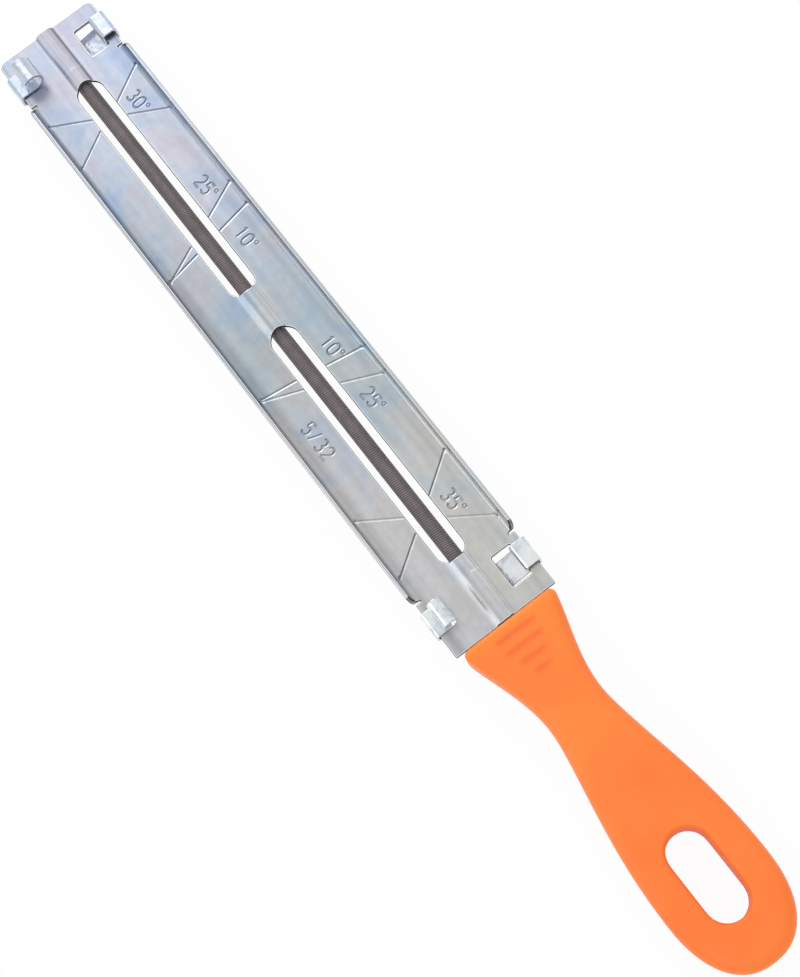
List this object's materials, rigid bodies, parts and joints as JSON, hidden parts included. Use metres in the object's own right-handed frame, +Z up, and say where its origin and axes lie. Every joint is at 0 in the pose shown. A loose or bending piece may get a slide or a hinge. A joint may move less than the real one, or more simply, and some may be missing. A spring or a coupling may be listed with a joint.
{
  "type": "chainsaw file guide",
  "caption": "Pressed steel plate with angle marks, spring clips that hold a round file under its ridge, and a plastic handle on the file's tang.",
  "frame": {"origin": "under the middle of the tool's length and width, on the surface that the handle's underside lies on", "axes": "+X along the file from the tip to the handle, +Y across the plate to the edge that the clips hook round, +Z up, out of the marked top face"},
  "size_m": [0.2924, 0.031, 0.0145],
  "materials": {
    "plate_steel": "bright zinc plating on pressed sheet steel",
    "clip_steel": "bright zinc plating on spring strip",
    "file_steel": "dark hardened tool steel with a fine cut",
    "handle_plastic": "satin moulded plastic"
  },
  "bodies": {
    "plate": {"guide_plate": "plate_steel"},
    "tip_clip": {"tip_clip": "clip_steel"},
    "heel_clip": {"heel_clip": "clip_steel"},
    "file": {"round_file": "file_steel"},
    "handle": {"handle": "handle_plastic"}
  },
  "joints": [
    {"name": "tip_clip_swing", "type": "hinge", "parent": "plate", "child": "tip_clip", "pos_m": [-0.13725, 0.01307, 0.0078], "axis": [1, 0, 0], "range_deg": [0, 60], "deforming": ["tip_clip"]},
    {"name": "heel_clip_swing", "type": "hinge", "parent": "plate", "child": "heel_clip", "pos_m": [0.04005, 0.01307, 0.0078], "axis": [1, 0, 0], "range_deg": [0, 60], "deforming": ["heel_clip"]},
    {"name": "file_turn", "type": "hinge", "parent": "plate", "child": "file", "pos_m": [0, 0, 0.006], "axis": [1, 0, 0], "continuous": true},
    {"name": "handle_pull", "type": "slide", "parent": "file", "child": "handle", "axis": [1, 0, 0], "range_m": [0, 0.038]}
  ]
}
